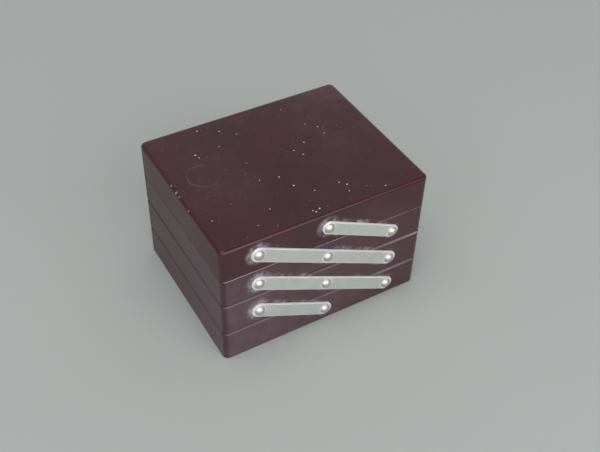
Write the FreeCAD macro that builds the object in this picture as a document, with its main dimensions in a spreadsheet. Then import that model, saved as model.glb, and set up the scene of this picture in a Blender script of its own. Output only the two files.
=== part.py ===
import FreeCAD, Part
import os

import Sketcher
from FreeCAD import Placement, Rotation, Vector

# Staircase case: a lid and three trays of one outline, stacked and carried by riveted flat links.
# Millimetres. X runs along the case, Y across it and Z up. The origin is the middle of the underside
# of the base tray with the case shut. Opening swings every tier up and over towards +X.

SIZES = {
    # outline shared by the four mouldings
    "case_length": 110.0,
    "case_width": 88.5,
    "corner_radius": 3.1,
    # height from one pivot row to the next, and how far the tiers' undersides lie off even steps of it
    "tier_pitch": 18.2,
    "lower_drop": 0.2,
    "upper_lift": 0.5,
    "lid_drop": 1.5,
    # slits between the trays, and under the lid
    "seam_gap": 0.3,
    "lid_gap": 0.15,
    # mouldings
    "wall_thickness": 2.4,
    "floor_thickness": 2.4,
    "lid_thickness": 3.0,
    "lid_edge_radius": 1.8,
    "rim_radius": 2.0,
    "rim_bevel": 0.5,
    "foot_radius": 0.6,
    "cavity_corner_radius": 2.0,
    "floor_fillet": 1.5,
    "fillet_margin": 0.2,
    # pivots: height of the lowest row, and how far the outer columns stand in from the ends
    "pivot_height": 8.75,
    "left_pivot_inset": 18.4,
    "right_pivot_inset": 19.3,
    # links, of which the topmost is cut from narrower strip
    "link_width": 7.5,
    "top_link_width": 6.8,
    "link_thickness": 1.1,
    "link_edge_radius": 0.25,
    "link_clearance": 0.25,
    # rivets, with the play under their heads and around their shanks
    "rivet_diameter": 3.0,
    "head_diameter": 5.4,
    "head_height": 1.6,
    "head_play": 0.1,
    "tail_diameter": 4.8,
    "tail_height": 1.0,
    "link_hole_play": 0.05,
    "wall_hole_play": 0.05,
    # washers under the set ends inside the trays
    "washer_diameter": 6.5,
    "washer_thickness": 0.6,
    "washer_hole_play": 0.1,
}

# Undersides and heights of the four mouldings and the sizes of their hollows, worked out from the sheet
UNDERSIDE = {
    "base": "0",
    "lower": "Sizes.tier_pitch - Sizes.lower_drop",
    "upper": "2 * Sizes.tier_pitch + Sizes.upper_lift",
    "lid": "3 * Sizes.tier_pitch - Sizes.lid_drop",
}
HEIGHT = {
    "base": f"{UNDERSIDE['lower']} - Sizes.seam_gap",
    "lower": f"{UNDERSIDE['upper']} - ({UNDERSIDE['lower']}) - Sizes.seam_gap",
    "upper": f"{UNDERSIDE['lid']} - ({UNDERSIDE['upper']}) - Sizes.lid_gap",
    "lid": "Sizes.tier_pitch",
}
CAVITY_LENGTH = "Sizes.case_length - 2 * Sizes.wall_thickness"
CAVITY_WIDTH = "Sizes.case_width - 2 * Sizes.wall_thickness"
FLOOR_FILLET = "min(Sizes.floor_fillet; Sizes.cavity_corner_radius - Sizes.fillet_margin)"
RIM_RADIUS = "min(Sizes.rim_radius; Sizes.wall_thickness - Sizes.fillet_margin)"

# Pivot columns along X, evenly spaced, and the hole spacing and slope of a link that joins them
COLUMNS = {
    "left": "Sizes.left_pivot_inset - Sizes.case_length / 2",
    "middle": "(Sizes.left_pivot_inset - Sizes.right_pivot_inset) / 2",
    "right": "Sizes.case_length / 2 - Sizes.right_pivot_inset",
}
COLUMN_SPACING = "(Sizes.case_length - Sizes.left_pivot_inset - Sizes.right_pivot_inset) / 2"
LINK_PITCH = f"sqrt(({COLUMN_SPACING}) ^ 2 + Sizes.tier_pitch ^ 2)"
LINK_SLOPE = f"atan(Sizes.tier_pitch / ({COLUMN_SPACING}))"

# Each tier's step in the stack and the pivot columns that it uses
TIERS = {
    "base": (0, ["middle", "right"]),
    "lower": (1, ["left", "middle", "right"]),
    "upper": (2, ["left", "middle", "right"]),
    "lid": (3, ["left", "middle"]),
}
# The highest tier that each link carries, its pivot columns, one tier lower each, and its width
LINKS = {
    "upper_short_link": ("lid", ["middle", "right"], "Sizes.top_link_width"),
    "upper_long_link": ("lid", ["left", "middle", "right"], "Sizes.link_width"),
    "lower_long_link": ("upper", ["left", "middle", "right"], "Sizes.link_width"),
    "lower_short_link": ("lower", ["left", "middle"], "Sizes.link_width"),
}
SIDES = ["front", "rear"]

# Point numbers of a sketch curve, the sketch's own two axes, and its origin, where they start
START, END, CENTRE = range(1, 4)
ACROSS_AXIS, UPRIGHT_AXIS = range(-1, -3, -1)
ORIGIN = (ACROSS_AXIS, START)

FACE_TOLERANCE = 1e-6

doc = FreeCAD.newDocument("staircase_case")
sheet = doc.addObject("Spreadsheet::Sheet", "Sizes")
for row, (alias, size) in enumerate(SIZES.items(), start=1):
    sheet.set(f"A{row}", alias)
    sheet.set(f"B{row}", str(size))
    sheet.setAlias(f"B{row}", alias)
doc.recompute()


def value(expression):
    """What an expression of the sheet's sizes comes to now, in millimetres."""
    return float(sheet.evalExpression(expression))


def new_body(label):
    body = doc.addObject("PartDesign::Body", label)
    body.Label = label
    return body


def origin_plane(body, role):
    return next(feature for feature in body.Origin.OriginFeatures if feature.Role == role)


def new_sketch(body, name, role, lift=None):
    """A sketch on one of the body's own planes, raised along its normal by an expression."""
    sketch = body.newObject("Sketcher::SketchObject", f"{body.Label}_{name}")
    sketch.AttachmentSupport = [(origin_plane(body, role), "")]
    sketch.MapMode = "FlatFace"
    if lift:
        sketch.setExpression("AttachmentOffset.Base.z", lift)
    return sketch


def dimension(sketch, name, expression, kind, *where):
    """A driving dimension of the sketch, tied to the sheet."""
    index = sketch.addConstraint(Sketcher.Constraint(kind, *where, value(expression)))
    sketch.renameConstraint(index, name)
    sketch.setExpression(f"Constraints.{name}", expression)


def constrain(sketch, kind, *where):
    sketch.addConstraint(Sketcher.Constraint(kind, *where))


def line(sketch, start, end):
    return sketch.addGeometry(Part.LineSegment(Vector(*start), Vector(*end)))


def circle(sketch, centre, radius):
    return sketch.addGeometry(Part.Circle(Vector(*centre), Vector(0, 0, 1), radius))


def arc(sketch, start, middle, end):
    """An arc through three points, running anticlockwise from its start to its end."""
    return sketch.addGeometry(Part.Arc(Vector(*start), Vector(*middle), Vector(*end)))


def quarter_arc(sketch, centre, radius, first_quarter):
    """A quarter circle that starts at a whole number of right angles."""
    points = []
    for turn in (0, 45, 90):
        spoke = Rotation(Vector(0, 0, 1), 90 * first_quarter + turn).multVec(Vector(radius, 0, 0))
        points.append(Vector(*centre) + spoke)
    return sketch.addGeometry(Part.Arc(*points))


def rounded_rectangle(sketch, length, width, radius):
    """A rounded rectangle about the sketch's origin; its three sizes are expressions."""
    out_x = value(length) / 2
    out_y = value(width) / 2
    corner = value(radius)
    in_x = out_x - corner
    in_y = out_y - corner
    sides = [
        line(sketch, (-in_x, -out_y), (in_x, -out_y)),
        line(sketch, (out_x, -in_y), (out_x, in_y)),
        line(sketch, (in_x, out_y), (-in_x, out_y)),
        line(sketch, (-out_x, in_y), (-out_x, -in_y)),
    ]
    centres = [(in_x, -in_y), (in_x, in_y), (-in_x, in_y), (-in_x, -in_y)]
    corners = [quarter_arc(sketch, centre, corner, turn - 1) for turn, centre in enumerate(centres)]
    for number in range(4):
        constrain(sketch, "Tangent", sides[number], END, corners[number], START)
        constrain(sketch, "Tangent", corners[number], END, sides[(number + 1) % 4], START)
    for number in (0, 2):
        constrain(sketch, "Horizontal", sides[number])
        constrain(sketch, "Vertical", sides[number + 1])
    for number in (1, 2, 3):
        constrain(sketch, "Equal", corners[0], corners[number])
    constrain(sketch, "Symmetric", corners[1], CENTRE, corners[3], CENTRE, *ORIGIN)
    dimension(sketch, "length", length, "DistanceX", sides[3], START, sides[1], START)
    dimension(sketch, "width", width, "DistanceY", sides[0], START, sides[2], START)
    dimension(sketch, "corner", radius, "Radius", corners[0])


def pad(body, sketch, length, reversed_side=False):
    feature = body.newObject("PartDesign::Pad", f"{sketch.Name}_pad")
    feature.Profile = sketch
    feature.setExpression("Length", length)
    feature.Reversed = reversed_side
    doc.recompute()
    return feature


def pocket(body, sketch, length=None, reversed_side=False, both_ways=False):
    """Cuts the sketch out of the body, right through when no length is given."""
    before = body.Shape.Volume
    feature = body.newObject("PartDesign::Pocket", f"{sketch.Name}_pocket")
    feature.Profile = sketch
    if length:
        feature.setExpression("Length", length)
    else:
        feature.Type = "ThroughAll"
    feature.Reversed = reversed_side
    if both_ways:
        feature.SideType = "Symmetric"
    doc.recompute()
    if not body.Shape.Volume < before:
        raise RuntimeError(f"{feature.Name} cuts nothing")
    return feature


def level_face(feature, height):
    """The name of the feature's level face at a height."""
    for number, face in enumerate(feature.Shape.Faces, start=1):
        box = face.BoundBox
        if max(abs(box.ZMin - height), abs(box.ZMax - height)) < FACE_TOLERANCE:
            return f"Face{number}"
    raise RuntimeError(f"{feature.Name} has no level face at {height}")


def round_face(body, feature, name, face, radius):
    """Rounds every edge of one face."""
    fillet = body.newObject("PartDesign::Fillet", f"{body.Label}_{name}")
    fillet.Base = (feature, [face])
    fillet.setExpression("Radius", radius)
    doc.recompute()
    return fillet


def rivet_holes(body, tier):
    """Rivet holes through both long walls: one pair, repeated along the tier's pivot columns."""
    step, columns = TIERS[tier]
    height = f"Sizes.pivot_height + {step} * Sizes.tier_pitch - ({UNDERSIDE[tier]})"
    sketch = new_sketch(body, "rivet_hole", "XZ_Plane")
    radius = "Sizes.rivet_diameter / 2 + Sizes.wall_hole_play"
    hole = circle(sketch, (value(COLUMNS[columns[0]]), value(height)), value(radius))
    dimension(sketch, "column", COLUMNS[columns[0]], "DistanceX", *ORIGIN, hole, CENTRE)
    dimension(sketch, "height", height, "DistanceY", *ORIGIN, hole, CENTRE)
    dimension(sketch, "bore", radius, "Radius", hole)
    first = pocket(body, sketch, both_ways=True)
    pattern = body.newObject("PartDesign::LinearPattern", f"{body.Label}_rivet_holes")
    pattern.Originals = [first]
    pattern.Direction = (sketch, ["H_Axis"])
    pattern.Occurrences = len(columns)
    pattern.setExpression("Length", f"{len(columns) - 1} * {COLUMN_SPACING}")
    body.Tip = pattern
    doc.recompute()


def hollow(body, depth_from, depth=None):
    """Sinks the cavity into a moulding, upwards from a height."""
    sketch = new_sketch(body, "cavity", "XY_Plane", depth_from)
    rounded_rectangle(sketch, CAVITY_LENGTH, CAVITY_WIDTH, "Sizes.cavity_corner_radius")
    return pocket(body, sketch, depth, reversed_side=True)


def block(body, height):
    """The solid outline that a moulding starts from."""
    sketch = new_sketch(body, "outline", "XY_Plane")
    rounded_rectangle(sketch, "Sizes.case_length", "Sizes.case_width", "Sizes.corner_radius")
    return pad(body, sketch, height)


def bevel_long_rims(body, height):
    """Breaks the two long upper edges between the corners, and leaves the ends square."""
    sketch = new_sketch(body, "rim_bevel", "YZ_Plane")
    out = value("Sizes.case_width / 2")
    top = value(height)
    leg = value("Sizes.rim_bevel")
    across = line(sketch, (out - leg, top), (out, top))
    down = line(sketch, (out, top), (out, top - leg))
    slope = line(sketch, (out, top - leg), (out - leg, top))
    for first, second in ((across, down), (down, slope), (slope, across)):
        constrain(sketch, "Coincident", first, END, second, START)
    constrain(sketch, "Horizontal", across)
    constrain(sketch, "Vertical", down)
    constrain(sketch, "Equal", across, down)
    dimension(sketch, "out", "Sizes.case_width / 2", "DistanceX", *ORIGIN, down, START)
    dimension(sketch, "top", height, "DistanceY", *ORIGIN, down, START)
    dimension(sketch, "leg", "Sizes.rim_bevel", "DistanceX", across, START, across, END)
    cut = pocket(body, sketch, "Sizes.case_length - 2 * Sizes.corner_radius", both_ways=True)
    mirror = body.newObject("PartDesign::Mirrored", f"{body.Label}_rim_bevels")
    mirror.Originals = [cut]
    mirror.MirrorPlane = (origin_plane(body, "XZ_Plane"), [""])
    body.Tip = mirror
    doc.recompute()


def tray(tier, rounded_rim):
    """An open tray: rounded foot, rim, filleted hollow and rivet holes."""
    height = HEIGHT[tier]
    body = new_body(f"{tier}_tray")
    solid = block(body, height)
    solid = round_face(body, solid, "foot", level_face(solid, 0), "Sizes.foot_radius")
    if rounded_rim:
        solid = round_face(body, solid, "rim", level_face(solid, value(height)), RIM_RADIUS)
    solid = hollow(body, "Sizes.floor_thickness")
    floor = level_face(solid, value("Sizes.floor_thickness"))
    round_face(body, solid, "floor_fillet", floor, FLOOR_FILLET)
    if not rounded_rim:
        bevel_long_rims(body, height)
    rivet_holes(body, tier)
    body.setExpression("Placement.Base.z", UNDERSIDE[tier])
    return body


def lid():
    """The cover: a rounded top edge over a skirt that is open underneath."""
    height = HEIGHT["lid"]
    body = new_body("lid")
    ceiling = f"{height} - Sizes.lid_thickness"
    solid = block(body, height)
    round_face(body, solid, "top_edge", level_face(solid, value(height)), "Sizes.lid_edge_radius")
    solid = hollow(body, None, ceiling)
    round_face(body, solid, "ceiling_fillet", level_face(solid, value(ceiling)), FLOOR_FILLET)
    rivet_holes(body, "lid")
    body.setExpression("Placement.Base.z", UNDERSIDE["lid"])
    return body


def link(side, name, tier, columns, width):
    """A flat bar with round ends, turned down from its upper left pivot, outside one long wall."""
    step = TIERS[tier][0]
    body = new_body(f"{side}_{name}")
    sketch = new_sketch(body, "outline", "XZ_Plane")
    span = f"{len(columns) - 1} * {LINK_PITCH}"
    reach = value(span)
    half = value(f"{width} / 2")
    lower = line(sketch, (0, -half), (reach, -half))
    far_end = arc(sketch, (reach, -half), (reach + half, 0), (reach, half))
    upper = line(sketch, (reach, half), (0, half))
    near_end = arc(sketch, (0, half), (-half, 0), (0, -half))
    for first, second in ((lower, far_end), (far_end, upper), (upper, near_end), (near_end, lower)):
        constrain(sketch, "Tangent", first, END, second, START)
    constrain(sketch, "Horizontal", lower)
    constrain(sketch, "Equal", near_end, far_end)
    constrain(sketch, "Coincident", near_end, CENTRE, *ORIGIN)
    dimension(sketch, "span", span, "DistanceX", *ORIGIN, far_end, CENTRE)
    dimension(sketch, "half_width", f"{width} / 2", "Radius", near_end)
    bore = "Sizes.rivet_diameter / 2 + Sizes.link_hole_play"
    for number in range(len(columns)):
        hole = circle(sketch, (number * value(LINK_PITCH), 0), value(bore))
        if number == 0:
            constrain(sketch, "Coincident", hole, CENTRE, *ORIGIN)
        else:
            constrain(sketch, "PointOnObject", hole, CENTRE, ACROSS_AXIS)
            place = f"{number} * {LINK_PITCH}"
            dimension(sketch, f"place_{number}", place, "DistanceX", *ORIGIN, hole, CENTRE)
        dimension(sketch, f"bore_{number}", bore, "Radius", hole)
    away = -1 if side == "front" else 1
    bar = pad(body, sketch, "Sizes.link_thickness", reversed_side=side == "rear")
    outline_edges = outer_edges(bar, away * value("Sizes.link_thickness"))
    fillet = body.newObject("PartDesign::Fillet", f"{body.Label}_edge")
    fillet.Base = (bar, outline_edges)
    fillet.setExpression("Radius", "Sizes.link_edge_radius")
    body.Placement = Placement(Vector(), Rotation(Vector(0, 1, 0), value(LINK_SLOPE)))
    body.setExpression("Placement.Rotation.Angle", LINK_SLOPE)
    body.setExpression("Placement.Base.x", COLUMNS[columns[0]])
    body.setExpression("Placement.Base.y", f"{away} * (Sizes.case_width / 2 + Sizes.link_clearance)")
    body.setExpression("Placement.Base.z", f"Sizes.pivot_height + {step} * Sizes.tier_pitch")
    doc.recompute()
    return body


def outer_edges(feature, depth):
    """The edges of a bar's outline on the face that shows, without those of its holes."""
    names = []
    for number, edge in enumerate(feature.Shape.Edges, start=1):
        box = edge.BoundBox
        on_face = max(abs(box.YMin - depth), abs(box.YMax - depth)) < FACE_TOLERANCE
        if on_face and not edge.isClosed():
            names.append(f"Edge{number}")
    return names


def place_on_wall(body, side, step, column):
    """Sets a piece, drawn with -Y outwards from the front wall's outer face, at a pivot of either wall."""
    if side == "rear":
        body.Placement = Placement(Vector(), Rotation(Vector(0, 0, 1), 180))
    away = -1 if side == "front" else 1
    body.setExpression("Placement.Base.x", COLUMNS[column])
    body.setExpression("Placement.Base.y", f"{away} * Sizes.case_width / 2")
    body.setExpression("Placement.Base.z", f"Sizes.pivot_height + {step} * Sizes.tier_pitch")


def rivet(side, tier, column):
    """A domed rivet turned about Y: head over the link, shank through the wall, set end on its washer."""
    body = new_body(f"{side}_rivet_{tier}_{column}")
    head_seat = "Sizes.link_clearance + Sizes.link_thickness + Sizes.head_play"
    tail_seat = "Sizes.wall_thickness + Sizes.washer_thickness"
    head_y = -value(head_seat)
    tail_y = value(tail_seat)
    crown_y = head_y - value("Sizes.head_height")
    end_y = tail_y + value("Sizes.tail_height")
    shank = value("Sizes.rivet_diameter / 2")
    head = value("Sizes.head_diameter / 2")
    tail = value("Sizes.tail_diameter / 2")
    sketch = new_sketch(body, "profile", "XY_Plane")
    crown = dome(sketch, head, head_y, crown_y)
    under_head = line(sketch, (head, head_y), (shank, head_y))
    side_line = line(sketch, (shank, head_y), (shank, tail_y))
    under_tail = line(sketch, (shank, tail_y), (tail, tail_y))
    set_end = dome(sketch, tail, tail_y, end_y)
    axis = line(sketch, (0, end_y), (0, crown_y))
    profile = [crown, under_head, side_line, under_tail, set_end, axis]
    for first, second in zip(profile, profile[1:] + profile[:1]):
        constrain(sketch, "Coincident", first, END, second, START)
    for level in (under_head, under_tail):
        constrain(sketch, "Horizontal", level)
    constrain(sketch, "Vertical", side_line)
    for point in ((axis, START), (axis, END), (crown, CENTRE), (set_end, CENTRE)):
        constrain(sketch, "PointOnObject", *point, UPRIGHT_AXIS)
    dimension(sketch, "head_seat", head_seat, "DistanceY", under_head, START, *ORIGIN)
    dimension(sketch, "tail_seat", tail_seat, "DistanceY", *ORIGIN, under_tail, START)
    dimension(sketch, "head_height", "Sizes.head_height", "DistanceY", crown, START, crown, END)
    dimension(sketch, "tail_height", "Sizes.tail_height", "DistanceY", set_end, START, set_end, END)
    dimension(sketch, "shank", "Sizes.rivet_diameter / 2", "DistanceX", *ORIGIN, side_line, START)
    dimension(sketch, "head", "Sizes.head_diameter / 2", "DistanceX", *ORIGIN, under_head, START)
    dimension(sketch, "tail", "Sizes.tail_diameter / 2", "DistanceX", *ORIGIN, under_tail, END)
    turned = body.newObject("PartDesign::Revolution", f"{body.Label}_turned")
    turned.Profile = sketch
    turned.ReferenceAxis = (sketch, ["V_Axis"])
    place_on_wall(body, side, TIERS[tier][0], column)
    doc.recompute()
    return body


def dome(sketch, radius, seat, top):
    """A round cap's profile from the rim on its seat to its top on the axis, drawn anticlockwise."""
    rise = abs(top - seat)
    ball = (radius ** 2 + rise ** 2) / (2 * rise)
    centre = top - ball if top > seat else top + ball
    rim = Vector(radius, seat - centre, 0)
    half_way = (rim + Vector(0, top - centre, 0)).normalize() * ball
    middle = (half_way.x, half_way.y + centre)
    if top > seat:
        return arc(sketch, (radius, seat), middle, (0, top))
    return arc(sketch, (0, top), middle, (radius, seat))


def washer(side, tier, column):
    """A flat ring on the wall's inner face, under the rivet's set end."""
    body = new_body(f"{side}_washer_{tier}_{column}")
    sketch = new_sketch(body, "ring", "XZ_Plane", "-Sizes.wall_thickness")
    rings = {
        "outside": "Sizes.washer_diameter / 2",
        "bore": "Sizes.rivet_diameter / 2 + Sizes.washer_hole_play",
    }
    for name, radius in rings.items():
        ring = circle(sketch, (0, 0), value(radius))
        constrain(sketch, "Coincident", ring, CENTRE, *ORIGIN)
        dimension(sketch, name, radius, "Radius", ring)
    pad(body, sketch, "Sizes.washer_thickness", reversed_side=True)
    place_on_wall(body, side, TIERS[tier][0], column)
    doc.recompute()
    return body


bodies = [
    tray("base", rounded_rim=True),
    tray("lower", rounded_rim=True),
    tray("upper", rounded_rim=False),
    lid(),
]
for side in SIDES:
    for name, (tier, columns, width) in LINKS.items():
        bodies.append(link(side, name, tier, columns, width))
    for tier, (step, columns) in TIERS.items():
        for column in columns:
            bodies.append(rivet(side, tier, column))
            bodies.append(washer(side, tier, column))
doc.recompute()

# Nothing is written unless every feature and every finished solid is sound
for item in doc.Objects:
    if "Invalid" in item.State or "Error" in item.State:
        raise RuntimeError(f"{item.Name} failed: {item.State}")
for body in bodies:
    if body.Shape.isNull() or not body.Shape.isValid() or len(body.Shape.Solids) != 1:
        raise RuntimeError(f"{body.Label} is not one sound solid")

os.makedirs("parts", exist_ok=True)
for body in bodies:
    body.Shape.exportStep(f"parts/{body.Label}.step")

whole = Part.makeCompound([body.Shape for body in bodies]).optimalBoundingBox(False, False)
print(f"{len(bodies)} pieces, {whole.XLength:.2f} x {whole.YLength:.2f} x {whole.ZLength:.2f} mm")
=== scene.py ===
# %% [markdown]
# A staircase case: a lid and three trays of dark red-brown moulded resin, stacked in one block and
# carried by flat aluminium links along both long sides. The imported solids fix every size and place.
# They come in first, and each is then replaced by a piece with a finished surface, in the same spot.

# %% Load the frame
import math

import bmesh
import bpy
from mathutils import Matrix, Vector


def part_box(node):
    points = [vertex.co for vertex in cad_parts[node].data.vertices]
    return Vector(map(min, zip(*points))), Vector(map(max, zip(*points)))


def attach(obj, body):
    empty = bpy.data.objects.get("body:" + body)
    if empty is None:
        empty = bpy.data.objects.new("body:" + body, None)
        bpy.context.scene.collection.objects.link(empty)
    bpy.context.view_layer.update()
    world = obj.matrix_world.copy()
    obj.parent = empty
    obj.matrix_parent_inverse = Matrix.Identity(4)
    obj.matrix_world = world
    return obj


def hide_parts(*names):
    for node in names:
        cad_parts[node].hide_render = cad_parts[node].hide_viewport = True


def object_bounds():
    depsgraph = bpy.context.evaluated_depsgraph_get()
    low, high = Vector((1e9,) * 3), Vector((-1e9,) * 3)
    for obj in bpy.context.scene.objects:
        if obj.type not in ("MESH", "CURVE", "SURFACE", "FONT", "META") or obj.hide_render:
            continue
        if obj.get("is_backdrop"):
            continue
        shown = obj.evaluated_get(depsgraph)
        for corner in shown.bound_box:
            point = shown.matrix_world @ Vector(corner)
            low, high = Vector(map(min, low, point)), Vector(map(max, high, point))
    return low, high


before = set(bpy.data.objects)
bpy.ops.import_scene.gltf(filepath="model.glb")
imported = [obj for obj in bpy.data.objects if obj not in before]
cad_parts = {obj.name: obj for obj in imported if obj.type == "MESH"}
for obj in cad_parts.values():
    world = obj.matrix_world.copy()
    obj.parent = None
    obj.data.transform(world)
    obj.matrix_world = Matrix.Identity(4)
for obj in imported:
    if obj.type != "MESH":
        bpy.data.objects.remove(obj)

MM = 0.001
cad_low, cad_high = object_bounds()
scene = bpy.context.scene
print("solids:", len(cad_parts), "box in mm:", [round(side / MM, 2) for side in cad_high - cad_low])

# %% [markdown]
# The camera stands to the left of the long side and looks well down on the lid. Its angles, its distance
# and its aim were solved from the case's own corners and rivets, with lengths as multiples of the case's.
# Writing the camera's three axes out as a matrix keeps the small roll exact, which is harder to do with a
# tracking constraint.

# %% The camera
case_length = cad_high.x - cad_low.x
view_azimuth, view_elevation, view_roll = (math.radians(angle) for angle in (-31.354, 43.174, 1.854))
distance = 4.3161 * case_length
aim_right = 0.0945 * case_length
aim_up = 0.1794 * case_length
film_width = 36.0
focal_share = 1.4823


def direction(azimuth, elevation):
    """The way from the case towards a place, by its angles; azimuth 0 is straight in front."""
    level = math.cos(elevation)
    return Vector((math.sin(azimuth) * level, -math.cos(azimuth) * level, math.sin(elevation)))


back = direction(view_azimuth, view_elevation)
right = (-back).cross(Vector((0, 0, 1))).normalized()
up = right.cross(-back)
right, up = (Matrix.Rotation(view_roll, 3, back) @ axis for axis in (right, up))

camera_data = bpy.data.cameras.new("camera")
camera_data.sensor_width = film_width
camera_data.lens = focal_share * film_width
camera = bpy.data.objects.new("camera", camera_data)
place = back * distance + right * aim_right + up * aim_up
camera.matrix_world = Matrix.Translation(place) @ Matrix((right, up, back)).transposed().to_4x4()
scene.collection.objects.link(camera)
scene.camera = camera
print("camera at", [round(side, 4) for side in place], "lens", round(camera_data.lens, 2))

# %% [markdown]
# Every finish below is a small tree of shader nodes. Such trees are often drawn by hand in the node editor,
# but as functions they can be repeated, and changed in one place. One helper adds a node and fills its
# sockets: a socket given as a value is set, and a socket given as another node's output is linked. The
# others are the few nodes that every finish here is made of.

# %% Helpers for shader nodes
def add(tree, kind, settings=(), **inputs):
    """Adds a node; an input goes by its socket's name, or by its number as i0, i1 and so on."""
    made = tree.nodes.new(f"ShaderNode{kind}")
    for name, setting in dict(settings).items():
        setattr(made, name, setting)
    for name, given in inputs.items():
        numbered = name[1:].isdigit()
        socket = made.inputs[int(name[1:]) if numbered else name.replace("_", " ")]
        if isinstance(given, bpy.types.NodeSocket):
            tree.links.new(given, socket)
        else:
            socket.default_value = given
    return made


def noise(tree, where, scale, detail):
    return add(tree, "TexNoise", Vector=where, Scale=scale, Detail=detail).outputs["Fac"]


def stretch(tree, value, low, high, start=0.0, end=1.0):
    """Draws a value's range out to another one, and holds it at both ends."""
    made = add(tree, "MapRange", Value=value, From_Min=low, From_Max=high, To_Min=start, To_Max=end)
    return made.outputs["Result"]


def patches(tree, where, pattern, start=0.0, end=1.0):
    """Soft uneven patches; the pattern is a noise's scale and detail, and the span of it that counts."""
    scale, detail, low, high = pattern
    return stretch(tree, noise(tree, where, scale, detail), low, high, start, end)


def sums(tree, operation, first, *others):
    """Arithmetic on one value, or on several from left to right."""
    for other in others or (0.0,):
        first = add(tree, "Math", {"operation": operation}, i0=first, i1=other).outputs["Value"]
    return first


def vectors(tree, operation, first, second=(0, 0, 0)):
    return add(tree, "VectorMath", {"operation": operation}, i0=first, i1=second).outputs["Vector"]


def apart(tree, first, second=(0, 0, 0)):
    """How far two points lie from each other, in metres."""
    return add(tree, "VectorMath", {"operation": "DISTANCE"}, i0=first, i1=second).outputs["Value"]


def part_of(tree, vector, axis):
    """A vector's part along one axis."""
    return add(tree, "SeparateXYZ", Vector=vector).outputs[axis]


def mixed(tree, share, first, second):
    """Two colours mixed by a share from 0 to 1; they are the node's inputs 6 and 7."""
    made = add(tree, "Mix", {"data_type": "RGBA"}, Factor=share, i6=first, i7=second)
    return made.outputs[2]


def embossed(tree, shader, *layers):
    """Gives a shader bumps in layers, one on another, each as (height, strength, depth)."""
    below = {}
    for height, strength, depth in layers:
        made = add(tree, "Bump", Height=height, Strength=strength, Distance=depth, **below)
        below = {"Normal": made.outputs["Normal"]}
    tree.links.new(below["Normal"], shader.inputs["Normal"])


def new_finish(name):
    """A material with one main shader, and the tree and shader to work on."""
    finish = bpy.data.materials.new(name)
    finish.use_nodes = True
    return finish, finish.node_tree, finish.node_tree.nodes["Principled BSDF"]


# %% [markdown]
# The stage is a wide pale floor. A broad soft light stands behind the camera, as a window would. It is
# brighter towards its right side, and one small patch low in it is brightest and gives the corners and the
# rivets their glints. A dim card carries it on to the right, so its line in the rounded edges fades along
# the case. A lamp above lights the lid, and a dim panel behind shows in the lid's far end. One strong lamp
# would do for a dull object. The glossy lid mirrors each lamp from some side, so apart from the patch they
# are broad and not very bright.

# %% The floor
FLOOR_REACH = 3.0
FLOOR_DROP = 0.2 * MM
FLOOR_GREY = (0.45, 0.48, 0.46, 1)
FLOOR_ROUGHNESS = 0.9

floor_mesh = bpy.data.meshes.new("floor")
bm = bmesh.new()
bmesh.ops.create_grid(bm, x_segments=1, y_segments=1, size=FLOOR_REACH)
bmesh.ops.translate(bm, vec=(0, 0, -FLOOR_DROP), verts=bm.verts)
bm.to_mesh(floor_mesh)
bm.free()
floor = bpy.data.objects.new("floor", floor_mesh)
scene.collection.objects.link(floor)
floor_finish, tree, shader = new_finish("pale_floor")
shader.inputs["Base Color"].default_value = FLOOR_GREY
shader.inputs["Roughness"].default_value = FLOOR_ROUGHNESS
floor_mesh.materials.append(floor_finish)
floor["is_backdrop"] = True
print("floor", 2 * FLOOR_REACH, "m wide")

# %% The light
LAMP_REACH = 1.4
# A flat lamp's power is its area times its radiance, times this
RADIANCE_TO_POWER = 4.0
SKY_COLOUR = (0.97, 0.98, 1.0, 1)
SKY_STRENGTH = 0.42
# Azimuth, elevation, width and height as angles in degrees, and then the radiance
LAMPS = {
    "window": (-20, 30, 90, 56, 0.85),
    "window_side": (4, 30, 30, 50, 0.6),
    "window_core": (-24, 15, 7, 7, 5.0),
    "right_card": (34, 24, 26, 26, 0.4),
    "overhead": (-90, 78, 34, 34, 1.3),
    "back_panel": (147, 18, 70, 34, 0.4),
}


def lamp(name, azimuth, elevation, wide, tall, radiance):
    """A soft lamp that spans two angles, in degrees, as seen from the case."""
    width, height = (2 * LAMP_REACH * math.tan(math.radians(span) / 2) for span in (wide, tall))
    data = bpy.data.lights.new(name, "AREA")
    data.shape = "RECTANGLE"
    data.size = width
    data.size_y = height
    data.energy = RADIANCE_TO_POWER * width * height * radiance
    towards = direction(math.radians(azimuth), math.radians(elevation))
    made = bpy.data.objects.new(name, data)
    made.location = towards * LAMP_REACH
    made.rotation_mode = "QUATERNION"
    made.rotation_quaternion = towards.to_track_quat("Z", "Y")
    made.visible_camera = False
    scene.collection.objects.link(made)


for name, setting in LAMPS.items():
    lamp(name, *setting)

world = bpy.data.worlds.new("studio")
world.use_nodes = True
scene.world = world
sky = world.node_tree.nodes["Background"]
sky.inputs["Color"].default_value = SKY_COLOUR
sky.inputs["Strength"].default_value = SKY_STRENGTH
scene.view_settings.view_transform = "Standard"

# %% [markdown]
# The links lie at one slope, so one turned set of coordinates serves them all: along a bar and across
# it. The pivots could be typed in as numbers, but read from the rivets' own boxes they are always right.

# %% Pivots and links
SIDES = ("front", "rear")
RIVETS = {
    "base": ("middle", "right"),
    "lower": ("left", "middle", "right"),
    "upper": ("left", "middle", "right"),
    "lid": ("left", "middle"),
}
NODE = {"base": "base_tray", "lower": "lower_tray", "upper": "upper_tray", "lid": "lid"}
LINKS = {
    "upper_short_link": (("lid", "middle"), ("upper", "right")),
    "upper_long_link": (("lid", "left"), ("upper", "middle"), ("lower", "right")),
    "lower_long_link": (("upper", "left"), ("lower", "middle"), ("base", "right")),
    "lower_short_link": (("lower", "left"), ("base", "middle")),
}


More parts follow.
